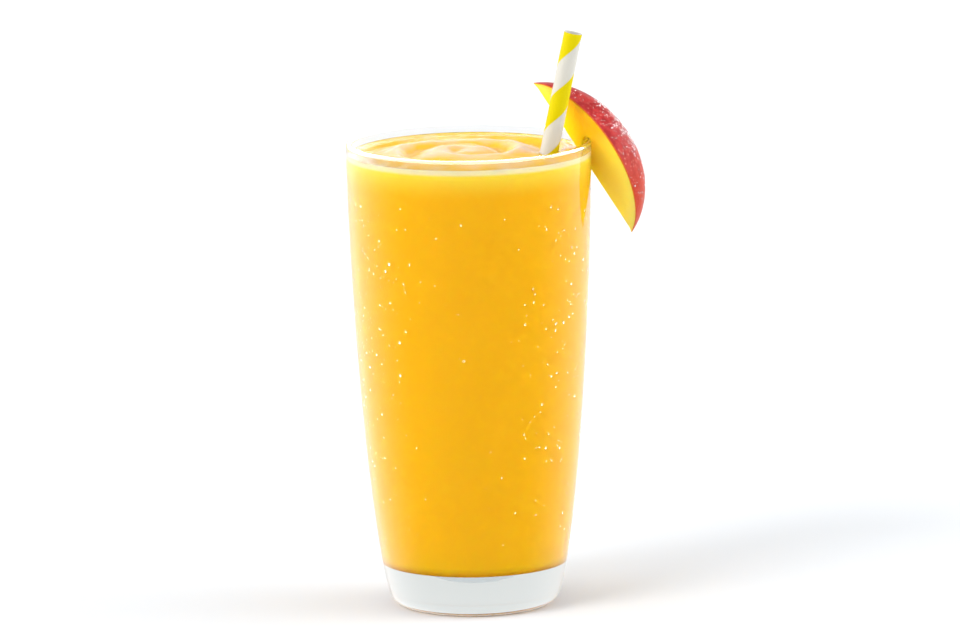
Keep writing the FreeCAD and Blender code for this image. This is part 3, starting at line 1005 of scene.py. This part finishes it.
def choose(tree, share, one, other):
    """Two values mixed by a share."""
    mix = tree.nodes.new("ShaderNodeMix")
    feed(tree, mix.inputs[0], share)
    feed(tree, mix.inputs[2], one)
    feed(tree, mix.inputs[3], other)
    return mix.outputs[0]


def towards(axis):
    """Light that is full along an axis, both ways, and fades away from it."""
    return maths(tree, "POWER", maths(tree, "ABSOLUTE", axis), LIGHT_FADE)


walls = rise(tree, across, *LEFT_TO_RIGHT_WALL, LEFT_WALL, RIGHT_WALL)
walls = maths(tree, "MULTIPLY", towards(across), walls)
fill = maths(tree, "MULTIPLY", towards(lengthways), FRONT_AND_BACK)
room = maths(tree, "ADD", maths(tree, "ADD", DOME, walls), fill)

panels = rise(tree, lengthways, *FRONT_TO_PANELS, MIRROR_FRONT, MIRROR_PANELS)
panels = maths(tree, "MULTIPLY", panels, rise(tree, across, *LEFT_TO_RIGHT_PANEL, 1, RIGHT_SHARE))
level = rise(tree, lengthways, *PANELS_TO_BEHIND, panels, MIRROR_BEHIND)
in_gloss = rise(tree, upwards, *UP_TO_ABOVE, level, MIRROR_ABOVE)
in_gloss = rise(tree, upwards, *UP_TO_CEILING, in_gloss, MIRROR_CEILING)
in_glass = rise(tree, upwards, *UP_TO_LIP_LIGHT, level, LIP_LIGHT)
mirror = choose(tree, ray.outputs["Is Singular Ray"], in_gloss, in_glass)

mirrored = maths(tree, "MULTIPLY", ray.outputs["Is Glossy Ray"], ray.outputs["Is Reflection Ray"])
through = maths(tree, "GREATER_THAN", ray.outputs["Transmission Depth"], THROUGH_ONE_FACE)
straight = maths(tree, "LESS_THAN", ray.outputs["Diffuse Depth"], ANY_SCATTER)
clear_through = maths(tree, "MULTIPLY", through, straight)
seen = choose(tree, mirrored, choose(tree, clear_through, room, THROUGH_GLASS), mirror)
tree.links.new(seen, tree.nodes["Background"].inputs["Strength"])
tree.nodes["Background"].inputs["Color"].default_value = (1, 1, 1, 1)

KEY_HEIGHT = math.radians(33)
KEY_SIDE = math.radians(-47)

key = bpy.data.lights.new("key", "SUN")
key.energy = 2.2
key.angle = math.radians(30)
key_light = bpy.data.objects.new("key", key)
bpy.context.scene.collection.objects.link(key_light)
key_light.rotation_euler = (math.pi / 2 - KEY_HEIGHT, 0, KEY_SIDE)
key_light.visible_glossy = False


# ---- the camera --------------------------------------------------------------------------------
# A long lens, a little above the rim and turned a touch about its own axis. Its distance and
# elevation are taken from the middle of the glass.

CAMERA_DISTANCE = 3.6
CAMERA_ELEVATION = math.radians(10.75)
CAMERA_ROLL = math.radians(-0.88)
CAMERA_PIVOT = np.array([0, 0, 75.0]) * MM
CAMERA_AIM = np.array([2.9, 3.2, 92.9]) * MM
SENSOR_WIDTH = 36.0
LENS = 414.3

camera = bpy.data.objects.new("camera", bpy.data.cameras.new("camera"))
bpy.context.scene.collection.objects.link(camera)
camera.data.sensor_width = SENSOR_WIDTH
camera.data.lens = LENS
camera.data.clip_end = 100
stand = np.array([0, -math.cos(CAMERA_ELEVATION), math.sin(CAMERA_ELEVATION)]) * CAMERA_DISTANCE
stand += CAMERA_PIVOT
way = CAMERA_AIM - stand
way /= np.linalg.norm(way)
side = np.cross(way, [0, 0, 1])
side /= np.linalg.norm(side)
up = np.cross(side, way)
rolled_side = math.cos(CAMERA_ROLL) * side + math.sin(CAMERA_ROLL) * up
rolled_up = math.cos(CAMERA_ROLL) * up - math.sin(CAMERA_ROLL) * side
pose = np.eye(4)
pose[:3, 0], pose[:3, 1], pose[:3, 2], pose[:3, 3] = rolled_side, rolled_up, -way, stand
camera.matrix_world = Matrix(pose)
bpy.context.scene.camera = camera
bpy.context.scene.view_settings.view_transform = "Standard"
